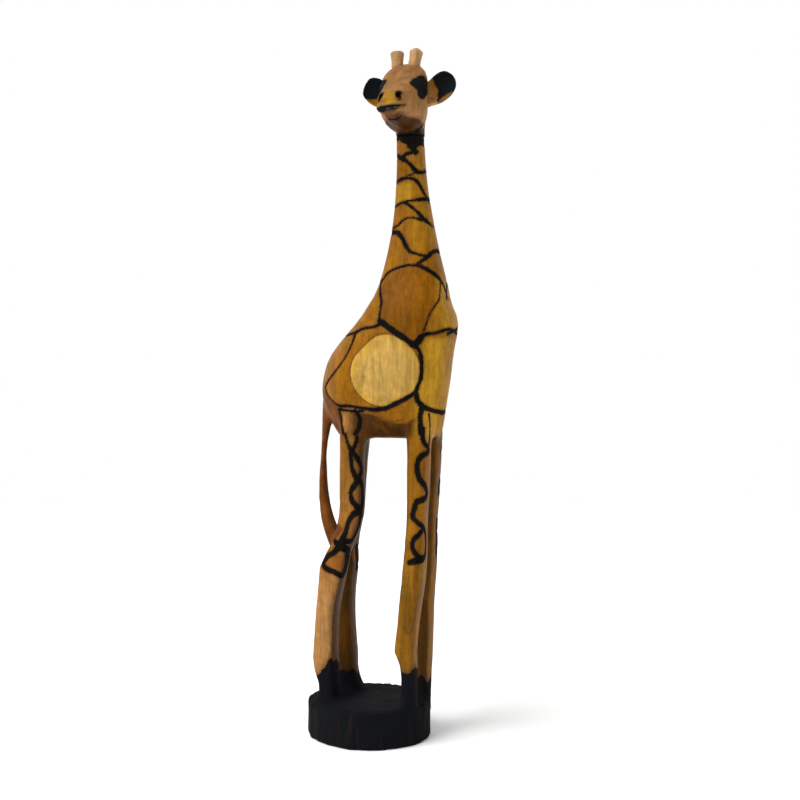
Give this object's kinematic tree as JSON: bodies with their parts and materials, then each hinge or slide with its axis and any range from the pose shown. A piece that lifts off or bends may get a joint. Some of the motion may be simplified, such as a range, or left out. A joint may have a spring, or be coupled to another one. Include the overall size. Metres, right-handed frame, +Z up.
{
  "type": "carved giraffe statue",
  "caption": "Carved wooden giraffe standing on a round base, its long neck upright and its head turned over its right side, with a burnt patch pattern.",
  "frame": {"origin": "middle of the base's flat underside", "axes": "+Z up, +X the way the giraffe's body points, +Y its left; the head looks along -Y"},
  "size_m": [0.1392, 0.1098, 0.601],
  "materials": {
    "varnished_wood": "amber varnish over burnt lines, with blackened feet and base",
    "pale_wood": "satin varnish, blackened round the eyes",
    "peg_wood": "bare",
    "ear_wood": "satin varnish, burnt black in the hollow",
    "horn_wood": "satin varnish"
  },
  "bodies": {
    "root": {"carved_log": "varnished_wood", "head": "pale_wood", "neck_dowel": "peg_wood", "ear_left": "ear_wood", "ear_right": "ear_wood", "horn_left": "horn_wood", "horn_right": "horn_wood"}
  },
  "joints": []
}
